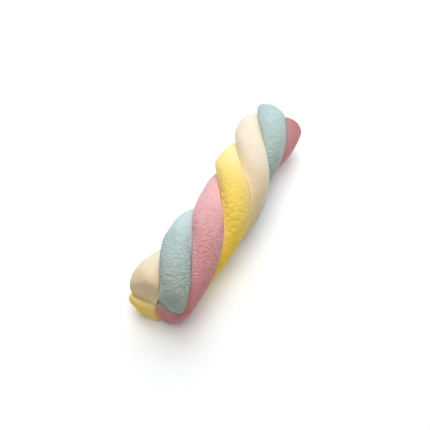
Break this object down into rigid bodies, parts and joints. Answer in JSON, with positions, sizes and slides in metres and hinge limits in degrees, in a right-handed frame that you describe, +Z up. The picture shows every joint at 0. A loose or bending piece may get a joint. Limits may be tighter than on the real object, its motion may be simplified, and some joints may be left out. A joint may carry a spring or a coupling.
{
  "type": "twisted marshmallow stick",
  "caption": "Soft marshmallow stick: pink, blue, cream and yellow strands wound into a left-hand rope with rounded cut ends, lying on its side.",
  "frame": {"origin": "middle of the footprint, on the surface that the stick lies on", "axes": "+X along the stick from its loosely twisted end to its tightly twisted end, +Z up"},
  "size_m": [0.08, 0.0236, 0.022],
  "materials": {
    "pink_foam": "soft matt marshmallow foam, finely wrinkled across the strand and slightly powdery",
    "blue_foam": "soft matt marshmallow foam, finely wrinkled across the strand and slightly powdery",
    "cream_foam": "soft matt marshmallow foam, nearly smooth and slightly powdery",
    "yellow_foam": "soft matt marshmallow foam, faintly wrinkled and slightly powdery"
  },
  "bodies": {
    "root": {"pink_strand": "pink_foam", "blue_strand": "blue_foam", "cream_strand": "cream_foam", "yellow_strand": "yellow_foam"}
  },
  "joints": []
}
